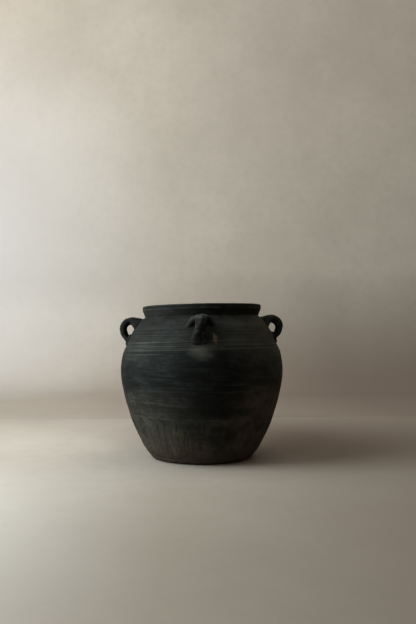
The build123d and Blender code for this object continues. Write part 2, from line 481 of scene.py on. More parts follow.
def relief(turn, z):
    """How far the worked surface stands off the plain form, and its marks, over arrays.

    The marks are 0..1 masks, in the order of MARKS: worn high spots with a painted highlight on the
    comb ridges, thumbed smears and dust, dry brown soil with painted light low on the left, tan
    residue, the grooved band, the scraped lower wall, and what is blacker, with a painted shadow
    beside the front strap.
    """
    turn, z = np.broadcast_arrays(wrapped(np.asarray(turn, float)), np.asarray(z, float))
    band, comb, low = zones(turn, z)
    belly = (1 - low) * (1 - band)
    foot = 1 - ramp(z, 15, 30)
    lines = scratches(turn, z)
    cut = nicks(turn, z)
    smear = smears(turn, z)
    combed, combed_worn_and_lit = turned_lines(turn, z, comb)

    belly_skin = 0.10 * ripple(turn, z, 3, 9, 3.1) + 0.06 * ripple(turn, z, 4, 23, 1.7)
    band_skin = 0.16 * ripple(turn, z, 5, 34, 11) + 0.06 * ripple(turn, z, 6, 15, 1.8)
    foot_skin = 0.35 * ripple(turn, z, 8, 70, 5) + 0.2 * ripple(turn, z, 9, 150, 2.5)
    off = uneven_form(turn, z) + belly * belly_skin + band * (band_skin + 0.3) + foot * foot_skin
    off = off + combed + low * (trimming(turn, z) / MM + 0.3) - 0.45 * cut - 0.25 * lines
    off += 0.35 * bell(z - ledge_height(turn) - 1.8 * MM, 2.2 * MM)
    off = off * (1 - 0.6 * smear) + smear * (0.3 + 0.35 * ripple(turn, z, 97, 90, 6))

    worn = np.maximum(combed_worn_and_lit, worn_spots(turn, z, lines))
    uneven = z + 9 * MM * ripple(turn, z, 13, 17, 21)
    streak = oval(turn, z + 3 * MM * ripple(turn, z, 146, 60, 8), *SOIL_STREAK)
    dust = np.maximum(smear, dust_mask(turn, z, streak))
    soil = soil_and_light_mask(turn, z, uneven, foot, streak)
    fade = scraped_mask(turn, z, uneven)
    # blacker: the nicks, the firing's soot, and the painted shadow beside the front strap
    dark = np.maximum(0.9 * cut, sooty_and_shaded(turn, z))
    marks = [worn, dust, soil, tan_marks(turn, z), band, fade, dark]
    return off * MM, *(np.clip(mark, 0, 1) for mark in marks)


# --- Mesh making ---
def added(name, data):
    """A new object in the scene for a mesh, a lamp or a camera."""
    thing = bpy.data.objects.new(name, data)
    bpy.context.scene.collection.objects.link(thing)
    return thing


def linked(name, mesh, marks, sharp):
    """A smooth-shaded object for a mesh, with its marks as point attributes."""
    for key, values in marks.items():
        layer = mesh.attributes.new(key, "FLOAT", "POINT")
        layer.data.foreach_set("value", np.asarray(values, np.float32).ravel())
    mesh.polygons.foreach_set("use_smooth", [True] * len(mesh.polygons))
    mesh.set_sharp_from_angle(angle=math.radians(sharp))
    return added(name, mesh)


def new_piece(name, points, faces, marks, sharp=40.0):
    """A new object at the origin; edges sharper than `sharp` degrees stay crisp."""
    mesh = bpy.data.meshes.new(name)
    mesh.from_pydata(points, [], faces)
    mesh.validate()
    return linked(name, mesh, marks, sharp)


def stand_for(piece, node, material):
    """Puts a piece on the jar's one body in place of a CAD node."""
    piece.data.materials.clear()
    piece.data.materials.append(material)
    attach(piece, "root")
    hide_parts(node)


TURNS = np.arange(COLUMNS) * math.tau / COLUMNS
# On the handles and lip, smear also carries painted light, and dark carries painted shade.
MARKS = ("worn", "smear", "soil", "tan", "band", "scraped", "dark")


def grid_faces(rows, columns, closed):
    """Quads between neighbouring rows and columns; the columns wrap, and the rows too if closed."""
    faces = []
    for i in range(rows if closed else rows - 1):
        a, b = i * columns, ((i + 1) % rows) * columns
        for j in range(columns):
            k = (j + 1) % columns
            faces.append((a + j, a + k, b + k, b + j))
    return faces


def outside_rows(low, high):
    """Worked outside surface between two heights given per column, from low to high."""
    count = max(4, round(float(np.mean(high - low)) / ROW))
    share = np.linspace(0, 1, count)[:, None]
    z = low * (1 - share) + high * share
    turn = np.broadcast_to(TURNS, z.shape)
    off, *marks = relief(turn, z)
    lean = slope(z)
    length = np.sqrt(1 + lean**2)
    return OUTSIDE_R(z) + off / length, z - off * lean / length, marks


def inside_rows(low, high):
    """Inside surface between two heights, from high to low, with soft finger ripples."""
    count = max(3, round((high - low) / INSIDE_ROW))
    z = np.linspace(high, low, count)[:, None] + 0 * TURNS
    turn = np.broadcast_to(TURNS, z.shape)
    wave = 0.35 * ripple(turn, z, 200, 6, 17) + 0.2 * ripple(turn, z, 201, 18, 9)
    return INSIDE_R(z) + wave * MM, z


def wall_ring(name, low, high, low_drop, high_drop):
    """A ring of the wall between two joint lines. Each drop is how far its joint falls inwards."""
    out_r, out_z, marks = outside_rows(low, high)
    in_r, in_z = inside_rows(float(np.mean(low)) - low_drop, float(np.mean(high)) - high_drop)
    r = np.concatenate([out_r, in_r])
    z = np.concatenate([out_z, in_z])
    plain = np.zeros_like(in_r)
    shown = {k: np.concatenate([m, plain]) for k, m in zip(MARKS, marks, strict=True)}
    points = placed(TURNS + 0 * r, r, z).reshape(-1, 3)
    return new_piece(name, points, grid_faces(len(r), COLUMNS, True), shown)


def capped(points, rows, columns):
    """Faces of an open stack of rows closed by a fan at each end; two pole points come last."""
    faces = grid_faces(rows, columns, False)
    low_pole, high_pole = len(points) - 2, len(points) - 1
    last = (rows - 1) * columns
    for j in range(columns):
        k = (j + 1) % columns
        faces.append((low_pole, k, j))
        faces.append((high_pole, last + j, last + k))
    return faces


def base_piece():
    """The base: flat underside, rounded and chipped foot corner, turned-up edge, inside floor."""
    flat_r = OUTSIDE_R(FOOT_ROUND) - FOOT_SPREAD
    rings = []
    for share in (0.15, 0.4, 0.65, 0.85, 0.95):
        rings.append((flat_r * share, 0.0))
    for i in range(7):
        a = math.radians(15 * i)
        rings.append((flat_r + FOOT_SPREAD * math.sin(a), FOOT_ROUND * (1 - math.cos(a))))
    for z in np.arange(FOOT_ROUND + ROW, BASE_JOINT_Z + 0.1 * MM, ROW):
        rings.append((float(OUTSIDE_R(z)), z))
    turn_up = 8 * MM  # how far the edge turns up inside
    joint_r = float(INSIDE_R(FLOOR_Z + turn_up))
    rings.append((float(OUTSIDE_R(BASE_JOINT_Z)), BASE_JOINT_Z))
    rings.append((joint_r, FLOOR_Z + turn_up))
    for i in range(1, 6):
        a = math.sin(math.radians(18 * i))
        rings.append((joint_r - 9 * MM * a, FLOOR_Z + turn_up * (1 - a) ** 2))
    for share in (0.7, 0.45, 0.2):
        rings.append((flat_r * share, FLOOR_Z))
    rings = np.array(rings)
    r = rings[:, :1] + 0 * TURNS
    z = rings[:, 1:] + 0 * TURNS
    turn = np.broadcast_to(TURNS, r.shape)
    off, *marks = relief(turn, z)
    outer = smoothstep(r, flat_r, flat_r + 3 * MM) * (z < BASE_JOINT_Z + 0.5 * MM)
    r += outer * off
    points = placed(turn, r, z).reshape(-1, 3)
    points = np.concatenate([points, [[0, 0, 0], [0, 0, FLOOR_Z]]])
    shown = {k: np.append(m * outer, [0, 0]) for k, m in zip(MARKS, marks, strict=True)}
    shown["soil"] = np.maximum(shown["soil"], 0.4)
    return new_piece("base_disc_clay", points, capped(points, len(rings), COLUMNS), shown)


def lip_piece():
    """The neck and everted lip: bevel, upright face with soft turning lines, rounded top edges."""
    mouth_r = float(INSIDE_R(NECK_Z + 4 * MM))
    round_r = 2.6 * MM
    corners = [
        (float(OUTSIDE_R(NECK_Z - 0.3 * MM)), NECK_Z, 0.8 * MM),
        (LIP_R, JAR_TOP - 8.5 * MM, 3.0 * MM),
        (LIP_R, JAR_TOP, round_r),
        (mouth_r, JAR_TOP, round_r),
        (mouth_r, NECK_Z - 4 * MM, 0.0),
    ]
    outline = rounded_outline(corners, 0.8 * MM)
    r = np.array([p[0] for p in outline])[:, None] + 0 * TURNS
    z = np.array([p[1] for p in outline])[:, None] + 0 * TURNS
    turn = np.broadcast_to(TURNS, r.shape)
    high = smoothstep(z, NECK_Z + 1 * MM, NECK_Z + 8 * MM)
    wave = 0.5 * round_ripple(turn, 300, 7) + 0.25 * round_ripple(turn, 301, 19)
    lines = 0.16 * ripple(turn, z, 302, 8, 1.5) + 0.1 * ripple(turn, z, 303, 40, 2.5)
    dents = 0.35 * np.maximum(0, round_ripple(turn, 304, 46) - 0.55)
    outwards = np.where(r > (mouth_r + LIP_R) / 2, 1.0, -1.0)
    r += high * outwards * (0.6 * wave + lines - dents) * MM
    z += high * (0.8 * wave + 0.15 * round_ripple(turn, 305, 60)) * MM
    rim_edge = bell(z - JAR_TOP, 1.6 * MM) * smoothstep(r, LIP_R - 5 * MM, LIP_R - 2 * MM)
    low_edge = bell(z - (JAR_TOP - 7.5 * MM), 1.0 * MM) * smoothstep(r, LIP_R - 2 * MM, LIP_R)
    broken = np.clip(0.5 + ripple(turn, z, 306, 50, 4), 0, 1)
    shown = {k: np.zeros_like(r) for k in MARKS}
    shown["worn"] = np.clip(0.8 * rim_edge + 0.5 * low_edge, 0, 1) * broken
    # painted light: the neck bevel is painted paler on the left, where the light falls
    neck_r = float(OUTSIDE_R(NECK_Z - MM))
    neck = 1 - smoothstep(z, JAR_TOP - 9 * MM, JAR_TOP - 6 * MM)
    neck *= smoothstep(r, neck_r - 2 * MM, neck_r)
    shown["smear"] = 0.18 * neck * bell(wrapped(turn + 0.9), 0.75)
    points = placed(turn, r, z).reshape(-1, 3)
    return new_piece("rim_collar_clay", points, grid_faces(len(outline), COLUMNS, True), shown, 50.0)


def rounded_outline(corners, step):
    """A closed outline through corners given as radius, height and rounding, finely divided."""
    out = []
    count = len(corners)
    for i, (x, y, rounding) in enumerate(corners):
        here = np.array([x, y])
        before = np.array(corners[i - 1][:2])
        after = np.array(corners[(i + 1) % count][:2])
        to_before = (before - here) / np.linalg.norm(before - here)
        to_after = (after - here) / np.linalg.norm(after - here)
        if rounding:
            half = math.acos(float(np.clip(to_before @ to_after, -1, 1))) / 2
            reach = rounding / math.tan(half)
            start, end = here + to_before * reach, here + to_after * reach
            for t in np.linspace(0, 1, 6):
                out.append((1 - t) ** 2 * start + 2 * t * (1 - t) * here + t * t * end)
        else:
            out.append(here)
    fine = []
    for a, b in zip(out, out[1:] + out[:1], strict=True):
        parts = max(1, int(np.linalg.norm(b - a) / step))
        fine += [a + (b - a) * k / parts for k in range(parts)]
    return fine


# --- Handles ---
# Each handle: the turn it faces, and the small differences that hand work leaves: a shift of the
# whole loop (out, up), how far the lower end is tucked in, how far the hood sits to the side, half
# the width of its wings, a sideways drift of the strap's lower end, where across that end the thumb
# left its crease, how much pale dust lies on top (which also scales the painted highlight on the
# left of the hood), how much stouter the strap is in its middle, and a seed for its lumps. Lengths
# here and in the lists below are millimetres.
HANDLE_KEYS = "turn out up tuck aside span drift crease dust stout seed".split()
HANDLES = {
    "front": (0.0, 0.0, 0.0, 0.0, -3.0, 25.0, -3.6, 3.4, 1.0, 0.0, 1),
    "right": (math.pi / 2, -2.1, -0.5, 2.4, 1.0, 25.0, 1.0, -2.0, 0.10, 0.22, 2),
    "back": (math.pi, -0.5, -0.5, 1.0, 2.0, 26.0, 2.0, 4.0, 0.30, 0.10, 3),
    "left": (-math.pi / 2, 0.0, 0.4, 0.0, -1.0, 26.0, -1.5, 2.5, 0.12, 0.06, 4),
}
STRAP_POINTS = [  # centre line of the strap from its upper root to its lower one: radius, height
    *[(110.0, 262.0), (121.0, 266.5), (130.5, 269.6), (139.5, 270.6), (148.5, 267.6)],
    *[(154.6, 260.5), (155.6, 251.0), (152.5, 242.5), (148.5, 235.0), (143.5, 226.0)],
]
STRAP_HALF_WIDE = [  # by the share of the way along the strap, as is the thickness
    *[(0.0, 18.0), (0.15, 16.5), (0.3, 15.0), (0.42, 11.6)],
    *[(0.55, 10.0), (0.75, 11.4), (0.9, 14.0), (1.0, 14.5)],
]
STRAP_HALF_THICK = [(0.0, 8.0), (0.15, 7.4), (0.35, 7.0), (0.6, 6.9), (0.8, 6.4), (1.0, 4.8)]
# The hood of clay over the upper root, by distance to the side: how far out its edge stands, the
# height of its middle, and half its height.
HOOD = [
    (0.0, 146.0, 269.6, 6.2),
    (9.0, 145.0, 269.2, 6.0),
    (15.0, 142.0, 266.6, 5.4),
    (20.0, 137.5, 262.0, 4.8),
    (25.0, 132.5, 256.4, 4.0),
    (28.0, 129.0, 252.4, 2.8),
]
VOXEL = 0.9 * MM
ROOT_CUT = (141.0, 264.0)  # where the hood ends and the strap runs free: radius and height
ROOT_CUT_WAY = (0.98, -0.2)
FOOT_CUT = (151.5, 240.5)  # where the strap ends and its pad begins
FOOT_CUT_WAY = (0.55, 0.83)


def tube(centres, sides, ups, half_wide, half_tall, around, power):
    """A closed tube of superellipse sections; sides and ups are unit vectors across each section."""
    points = []
    for c, s, u, w, t in zip(centres, sides, ups, half_wide, half_tall, strict=True):
        for k in range(around):
            a = math.tau * k / around
            ca, sa = math.cos(a), math.sin(a)
            x = math.copysign(abs(ca) ** (2 / power), ca) * w
            y = math.copysign(abs(sa) ** (2 / power), sa) * t
            points.append(c + s * x + u * y)
    rows = len(centres)
    points += [centres[0], centres[-1]]
    return points, capped(points, rows, around)


def at_handle(turn, out, side, z):
    """A point by its distance from the axis along a handle's facing, its side shift and height."""
    facing = np.array([math.sin(turn), -math.cos(turn), 0.0])
    right = np.array([math.cos(turn), math.sin(turn), 0.0])
    return facing * out + right * side + np.array([0.0, 0.0, z])


def strap_tube(spec):
    """The rolled strap bent round its eye."""
    s = np.linspace(0, 1, 70)
    knots = np.linspace(0, 1, len(STRAP_POINTS))
    out = cubic(knots, [p[0] + spec["out"] for p in STRAP_POINTS])(s)
    out -= spec["tuck"] * smoothstep(s, 0.72, 0.88)
    high = cubic(knots, [p[1] + spec["up"] for p in STRAP_POINTS])(s)
    drift = spec["drift"] * smoothstep(s, 0.25, 0.9)
    wide = cubic(*zip(*STRAP_HALF_WIDE, strict=True))(s)
    thick = cubic(*zip(*STRAP_HALF_THICK, strict=True))(s)
    thick *= 1 + spec["stout"] * bell(s - 0.5, 0.22)
    centres = []
    for reach, shift, z in zip(out * MM, drift * MM, high * MM, strict=True):
        centres.append(at_handle(spec["turn"], reach, shift, z))
    ways = np.gradient(np.array(centres), axis=0)
    right = at_handle(spec["turn"], 0, 1, 0)
    ups = [np.cross(w / np.linalg.norm(w), right) for w in ways]
    return tube(centres, [right] * len(s), ups, wide * MM, thick * MM, 36, 2.0)


def hood_tube(spec):
    """The hood over the upper root: a blade from the wall outwards that droops on both sides."""
    aside, edge, middle, half_tall = (np.array(column) for column in zip(*HOOD, strict=True))
    share = np.linspace(-1, 1, 57)
    reach = np.abs(share) * aside[-1]
    z = (cubic(aside, middle)(reach) + spec["up"]) * MM
    side = (share * spec["span"] + spec["aside"]) * MM
    wall = np.sqrt(OUTSIDE_R(z) ** 2 - side**2) - 3 * MM
    outer = (cubic(aside, edge)(reach) + spec["out"]) * MM
    halves_out = (outer - wall) / 2
    centres = []
    for middle_out, shift, at in zip(wall + halves_out, side, z, strict=True):
        centres.append(at_handle(spec["turn"], middle_out, shift, at))
    facing = at_handle(spec["turn"], 1, 0, 0)
    ways = np.gradient(np.array(centres), axis=0)
    ups = []
    for way in ways:
        up = np.cross(way, facing)
        ups.append(up / np.linalg.norm(up))
    halves_up = cubic(aside, half_tall)(reach) * MM
    return tube(centres, [facing] * len(share), ups, halves_out, halves_up, 32, 2.6)


def pad_tube(spec):
    """The blunt pad smeared over the lower root."""
    s = np.linspace(0, 1, 15)
    centres, wide, thick = [], [], []
    for t in s:
        z = (243.0 + spec["up"] - 19.5 * t) * MM
        stands = float(OUTSIDE_R(z)) + (0.8 - 1.2 * spec["tuck"]) * MM
        centres.append(at_handle(spec["turn"], stands, spec["drift"] * MM, z))
        full = (1 - abs(2 * t - 1) ** 3) ** 0.5
        wide.append((8.0 + 6.8 * full) * MM)
        thick.append((1.6 + 2.6 * full) * MM)
    right = at_handle(spec["turn"], 0, 1, 0)
    ways = np.gradient(np.array(centres), axis=0)
    ups = [np.cross(w / np.linalg.norm(w), right) for w in ways]
    return tube(centres, [right] * len(s), ups, wide, thick, 28, 2.2)


def remeshed(parts):
    """One even mesh round overlapping parts, its creases softened."""
    points, faces = [], []
    for part_points, part_faces in parts:
        start = len(points)
        points += [tuple(p) for p in part_points]
        faces += [[start + i for i in f] for f in part_faces]
    mesh = bpy.data.meshes.new("blank")
    mesh.from_pydata(points, [], faces)
    blank = added("blank", mesh)
    voxels = blank.modifiers.new("voxels", "REMESH")
    voxels.mode = "VOXEL"
    voxels.voxel_size = VOXEL
    soften = blank.modifiers.new("soften", "SMOOTH")
    soften.factor = 0.5
    soften.iterations = 9
    graph = bpy.context.evaluated_depsgraph_get()
    even = bpy.data.meshes.new_from_object(blank.evaluated_get(graph))
    bpy.data.objects.remove(blank)
    bpy.data.meshes.remove(mesh)
    return even


def points_and_normals(mesh):
    """A mesh's vertices and their normals, as rows of x, y, z."""
    count = len(mesh.vertices)
    points = np.empty(count * 3)
    mesh.vertices.foreach_get("co", points)
    normals = np.empty(count * 3, np.float32)
    mesh.vertex_normals.foreach_get("vector", normals)
    return points.reshape(-1, 3), normals.reshape(-1, 3)


def hand_worked(mesh, spec):
    """Flares a handle's mesh where it meets the wall, and dents it as fingers would."""
    points, normals = points_and_normals(mesh)
    reach, height = np.hypot(points[:, 0], points[:, 1]), points[:, 2]
    gap = reach - OUTSIDE_R(np.clip(height, 0.1, NECK_Z - MM))
    gap = gap / np.sqrt(1 + slope(np.clip(height, 0.1, NECK_Z - 2 * MM)) ** 2)
    flare = 1.8 * MM * np.exp(-np.maximum(gap, 0) / (2.2 * MM))
    shift = Vector((17.0 * spec["seed"], 5.0, 3.0))
    lumps = np.array([noise.noise(Vector(p) * 95 + shift) for p in points]) * 0.75 * MM
    fine = np.array([noise.noise(Vector(p) * 330 + shift) for p in points]) * 0.22 * MM
    right = at_handle(spec["turn"], 0, 1, 0)
    aside = points @ right / MM - spec["drift"]
    foot = 1 - ramp(height, 234, 244)
    crease = -2.0 * MM * bell(aside - spec["crease"], 1.7) * foot * ramp(gap, 1, 5)
    pinch = 1.3 * MM * bell(aside + 8.5, 3.0) * bell_at(height, 238, 6)
    points += normals * (flare + lumps + fine + crease + pinch)[:, None]
    return leaned(points)


def cut_off(source, cuts):
    """A closed copy of a mesh, kept on the outer side of each plane and filled where it is cut."""
    work = bmesh.new()
    work.from_mesh(source)
    for at, way in cuts:
        everything = work.verts[:] + work.edges[:] + work.faces[:]
        bmesh.ops.bisect_plane(work, geom=everything, plane_co=at, plane_no=way, clear_inner=True)
        rims = [e for e in work.edges if e.is_boundary]
        bmesh.ops.holes_fill(work, edges=rims, sides=0)
    bmesh.ops.triangulate(work, faces=[f for f in work.faces if len(f.verts) > 4])
    out = bpy.data.meshes.new("part")
    work.to_mesh(out)
    work.free()
    return out


def handle_pieces(side, spec, material):
    """One handle as three closed pieces cut from one blended form, so that no crack shows."""
    mesh = remeshed([strap_tube(spec), hood_tube(spec), pad_tube(spec)])
    mesh.vertices.foreach_set("co", hand_worked(mesh, spec).ravel())
    mesh.update()
    turn = spec["turn"]
    root_at = Vector(at_handle(turn, ROOT_CUT[0] * MM, 0, ROOT_CUT[1] * MM))
    root_way = Vector(at_handle(turn, ROOT_CUT_WAY[0], 0, ROOT_CUT_WAY[1]))
    foot_at = Vector(at_handle(turn, FOOT_CUT[0] * MM, 0, (FOOT_CUT[1] + spec["up"]) * MM))
    foot_way = Vector(at_handle(turn, FOOT_CUT_WAY[0], 0, FOOT_CUT_WAY[1]))
    cuts = {
        "crescent": [(root_at, -root_way)],
        "loop": [(root_at, root_way), (foot_at, foot_way)],
        "foot_pad": [(root_at, root_way), (foot_at, -foot_way)],
    }
    for kind, planes in cuts.items():
        part = cut_off(mesh, planes)
        name = f"handle_{side}_{kind}"
        piece = finished_part(part, name + "_clay", spec)
        stand_for(piece, name, material)
    bpy.data.meshes.remove(mesh)


def finished_part(mesh, name, spec):
    """An object for a cut mesh: pale on edges and under dust, with a painted highlight on the left of its
    hood and painted shade from the strap's middle to its right.
    """
    mesh.name = name
    points, normals = points_and_normals(mesh)
    reach, height = np.hypot(points[:, 0], points[:, 1]), points[:, 2]
    aside = points @ at_handle(spec["turn"], 0, 1, 0)
    spots = np.array([noise.noise(Vector(p) * 140) for p in points])
    worn = 0.5 * ramp(reach, 150, 162) * smoothstep(spots, -0.1, 0.5)
    top = smoothstep(normals[:, 2], 0.45, 0.95)
    worn = np.maximum(worn, spec["dust"] * top * smoothstep(spots, -0.5, 0.3))
    edges = bell(np.abs(aside - 0.5 * spec["drift"] * MM) - 9.5 * MM, 2.2 * MM)
    edges *= ramp(reach, 145, 150)
    worn = np.maximum(worn, 0.30 * edges * smoothstep(spots, -0.4, 0.4))
    worn = np.maximum(worn, 0.10 * (1 - ramp(height, 238, 244)))
    # painted highlight: the left of the hood is painted paler, on the side where the light falls
    wing = 0.28 * spec["dust"] * ramp(-aside, 9, 15)
    wing *= ramp(height, 246, 250)
    # painted shade: the strap is painted blacker from its middle to its right, away from the light
    dark = ramp(aside + spots * 4 * MM, -10, -5)
    dark *= 1 - ramp(aside, 14, 18)
    dark *= ramp(height, 236, 244)
    dark *= 1 - ramp(height, 270, 275)
    return linked(name, mesh, {"worn": worn, "smear": wing, "dark": dark}, 50.0)


# --- Materials ---
SKIN_DARK, SKIN_LIGHT = (0.0036, 0.0046, 0.0044, 1), (0.0070, 0.0088, 0.0085, 1)
RIM_DARK, RIM_LIGHT = (0.0036, 0.0043, 0.0040, 1), (0.0080, 0.0092, 0.0085, 1)
HANDLE_DARK, HANDLE_LIGHT = (0.0024, 0.0027, 0.0024, 1), (0.0052, 0.0057, 0.0050, 1)
BAND_DARK, BAND_LIGHT = (0.0062, 0.0070, 0.0062, 1), (0.0150, 0.0160, 0.0142, 1)
LOW_DARK, LOW_LIGHT = (0.0120, 0.0120, 0.0104, 1), (0.0480, 0.0478, 0.0410, 1)
PALE_MOTTLE = (0.042, 0.050, 0.047, 1)
SOOT_AND_SHADE = (0.0015, 0.0015, 0.0015, 1)
DRY_SOIL_AND_LIGHT = (0.062, 0.044, 0.031, 1)
WORN_AND_LIT_EDGE = (0.120, 0.124, 0.108, 1)
THUMBED_AND_LIT = (0.092, 0.092, 0.075, 1)
TAN_CLAY = (0.165, 0.134, 0.094, 1)
PLASTER_DARK, PLASTER_LIGHT = (0.42, 0.385, 0.335, 1), (0.52, 0.485, 0.43, 1)
PLASTER_GRAIN = (0.33, 0.30, 0.26, 1)
WALL_LIGHT_POOL, FLOOR_LIGHT_POOL = (0.66, 0.66, 0.68, 1), (0.66, 0.65, 0.63, 1)
SHADE_RIGHT, SHADE_SEAM, SHADE_LOW = (0.07, 0.052, 0.038, 1), (0.12, 0.09, 0.07, 1), (0.20, 0.17, 0.14, 1)
SHADE_NEAR, SHADE_BEHIND = (0.18, 0.15, 0.12, 1), (0.22, 0.18, 0.15, 1)
SHADE_BESIDE = (0.070, 0.046, 0.030, 1)
LIGHT_POOL_AT = (-1.15, 1.75, 0.60)  # the middle of the painted pool of light on the wall
JAR_SHADOW_AT = (0.20, 0.27, 0.0)  # the middle of the painted shadow of the jar on the floor
SEAM_Y = 0.58  # where the floor's tone changes, behind the jar


class Nodes:
    """A short way to add and join shader nodes in one material."""

    def __init__(self, name):
        self.material = bpy.data.materials.new(name)
        self.material.use_nodes = True
        self.tree = self.material.node_tree
        self.shader = self.tree.nodes["Principled BSDF"]

    def add(self, kind, inputs=None, **settings):
        node = self.tree.nodes.new("ShaderNode" + kind)
        for key, value in settings.items():
            setattr(node, key, value)
        for key, value in (inputs or {}).items():
            if isinstance(value, bpy.types.NodeSocket):
                self.tree.links.new(value, node.inputs[key])
            else:
                node.inputs[key].default_value = value
        return node

    def noise(self, vector, scale, detail, rough):
        inputs = {"Vector": vector, "Scale": scale, "Detail": detail, "Roughness": rough}
        return self.add("TexNoise", inputs).outputs["Fac"]

    def stretched(self, vector, x, y, z):
        return self.add("Mapping", {"Vector": vector, "Scale": (x, y, z)}).outputs[0]

    def range(self, value, low, high, to_low=0.0, to_high=1.0):
        inputs = {"Value": value, "From Min": low, "From Max": high, "To Min": to_low, "To Max": to_high}
        return self.add("MapRange", inputs).outputs[0]

    def maths(self, operation, a, b):
        return self.add("Math", {0: a, 1: b}, operation=operation).outputs[0]

    def times(self, a, b):
        return self.maths("MULTIPLY", a, b)

    def distance(self, place, at):
        return self.add("VectorMath", {0: place, 1: at}, operation="DISTANCE").outputs["Value"]

    def mix(self, share, a, b):
        return self.add("Mix", {0: share, 6: a, 7: b}, data_type="RGBA").outputs[2]

    def mark(self, name):
        return self.add("Attribute", attribute_name=name).outputs["Fac"]

    def link(self, output, socket):
        self.tree.links.new(output, self.shader.inputs[socket])


def clay(name, dark, light, rough, streak, grain):
    """Black fired clay: mottled, streaked round the jar, paler where worn, brown where soiled, with the
    painted light and shade its marks carry.
    """
    n = Nodes(name)
    place = n.add("TexCoord").outputs["Object"]
    clouds = n.noise(place, 13.0, 5.0, 0.6)
    patches = n.noise(place, 42.0, 4.0, 0.6)
    round_lines = n.noise(n.stretched(place, 4, 4, 300), 1.0, 3.0, 0.6)
    fine_lines = n.noise(n.stretched(place, 16, 16, 1100), 1.0, 2.0, 0.5)
    upright = n.noise(n.stretched(place, 85, 85, 9), 1.0, 2.0, 0.5)
    specks = n.noise(place, 900.0, 3.0, 0.7)
    blotches = n.noise(place, 150.0, 4.0, 0.65)
    mottle = n.noise(n.stretched(place, 30, 30, 75), 1.0, 5.0, 0.72)
    level = n.noise(n.stretched(place, 9, 9, 430), 1.0, 3.0, 0.6)

    tone = n.mix(n.range(clouds, 0.32, 0.68), dark, light)
    band_tone = n.mix(n.range(patches, 0.3, 0.7), BAND_DARK, BAND_LIGHT)
    tone = n.mix(n.mark("band"), tone, band_tone)
    scraped = n.mark("scraped")
    low_tone = n.mix(n.range(patches, 0.3, 0.7), LOW_DARK, LOW_LIGHT)
    tone = n.mix(n.times(scraped, n.range(blotches, 0.3, 0.7, 0.6, 1.0)), tone, low_tone)
    tone = n.mix(n.range(mottle, 0.50, 0.72, 0.0, 0.38), tone, PALE_MOTTLE)
    tone = n.mix(n.range(mottle, 0.48, 0.30, 0.0, 0.60), tone, SOOT_AND_SHADE)
    streaky = n.times(n.range(level, 0.52, 0.70), n.range(patches, 0.42, 0.62))
    tone = n.mix(n.times(streaky, 0.45 * streak), tone, PALE_MOTTLE)
    tone = n.mix(n.range(round_lines, 0.45, 0.28, 0.0, 0.45 * streak), tone, SOOT_AND_SHADE)
    cut_gap = n.maths("ABSOLUTE", n.maths("SUBTRACT", upright, 0.5), 0.0)
    cut_line = n.times(n.range(cut_gap, 0.006, 0.034, 1.0, 0.0), scraped)
    cut_line = n.times(cut_line, n.range(patches, 0.35, 0.6, 0.3, 1.0))
    tone = n.mix(n.times(cut_line, 0.7), tone, SOOT_AND_SHADE)
    # the soil mark: dry soil, and painted light low on the left
    brown = n.times(n.mark("soil"), n.range(patches, 0.3, 0.7, 0.25, 0.9))
    tone = n.mix(brown, tone, DRY_SOIL_AND_LIGHT)
    # the dark mark: soot, nicks, and painted shade on and beside the front strap
    tone = n.mix(n.times(n.mark("dark"), 0.85), tone, SOOT_AND_SHADE)
    # the worn mark: wear, and the painted highlight on the comb ridges
    pale = n.times(n.mark("worn"), n.range(fine_lines, 0.35, 0.62, 0.25, 1.0))
    tone = n.mix(n.times(pale, 0.6), tone, WORN_AND_LIT_EDGE)
    # the smear mark: thumbed clay and dust, and painted light on the lip's neck and the hood's left
    tone = n.mix(n.times(n.mark("smear"), 0.6), tone, THUMBED_AND_LIT)
    tan = n.times(n.mark("tan"), n.range(blotches, 0.35, 0.6, 0.35, 1.0))
    tone = n.mix(tan, tone, TAN_CLAY)
    n.link(tone, "Base Color")

    gloss = n.range(n.maths("ADD", round_lines, clouds), 0.75, 1.25, rough - 0.10, rough + 0.10)
    n.link(n.maths("ADD", gloss, n.times(pale, 0.15)), "Roughness")
    n.shader.inputs["Specular IOR Level"].default_value = 0.10
    n.shader.inputs["Specular Tint"].default_value = (0.88, 1.0, 0.98, 1)

    lines = n.times(fine_lines, 0.6 * streak)
    rough_skin = n.times(specks, 0.7 * grain)
    height = n.maths("SUBTRACT", n.maths("ADD", lines, rough_skin), n.times(cut_line, 1.2))
    height = n.maths("ADD", height, n.times(blotches, 0.8 * grain))
    bump = n.add("Bump", {"Height": height, "Distance": 0.35 * MM, "Strength": 0.7})
    n.link(bump.outputs[0], "Normal")
    return n.material


